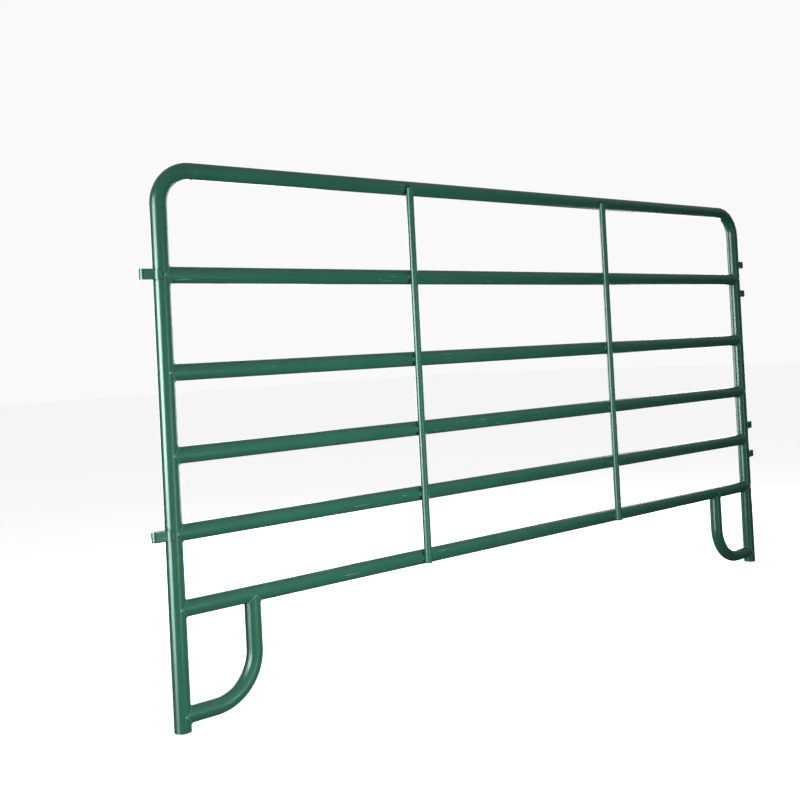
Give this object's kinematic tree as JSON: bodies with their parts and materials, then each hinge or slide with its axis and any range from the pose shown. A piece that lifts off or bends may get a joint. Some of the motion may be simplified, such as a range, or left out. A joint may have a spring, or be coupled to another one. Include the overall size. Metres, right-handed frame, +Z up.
{
  "type": "tubular steel stockyard panel",
  "caption": "Portable livestock yard panel of welded round steel tube with bent top corners, level rails, thin stays, J-shaped feet and pin loops.",
  "frame": {"origin": "middle of the flat closed lower end of the left upright, on the ground", "axes": "+X along the panel from the left upright to the right one, -Y towards the side with the stays, +Z up"},
  "size_m": [2.9857, 0.0732, 1.6],
  "materials": {
    "green_powder_coat": "glossy"
  },
  "bodies": {
    "root": {"left_upright": "green_powder_coat", "right_upright": "green_powder_coat", "top_rail": "green_powder_coat", "second_rail": "green_powder_coat", "third_rail": "green_powder_coat", "fourth_rail": "green_powder_coat", "fifth_rail": "green_powder_coat", "bottom_rail": "green_powder_coat", "left_stay": "green_powder_coat", "right_stay": "green_powder_coat", "left_foot": "green_powder_coat", "right_foot": "green_powder_coat", "left_base_cap": "green_powder_coat", "right_base_cap": "green_powder_coat", "left_upper_loop": "green_powder_coat", "left_lower_loop": "green_powder_coat", "right_upper_loop_high": "green_powder_coat", "right_upper_loop_low": "green_powder_coat", "right_lower_loop_high": "green_powder_coat", "right_lower_loop_low": "green_powder_coat"}
  },
  "joints": []
}
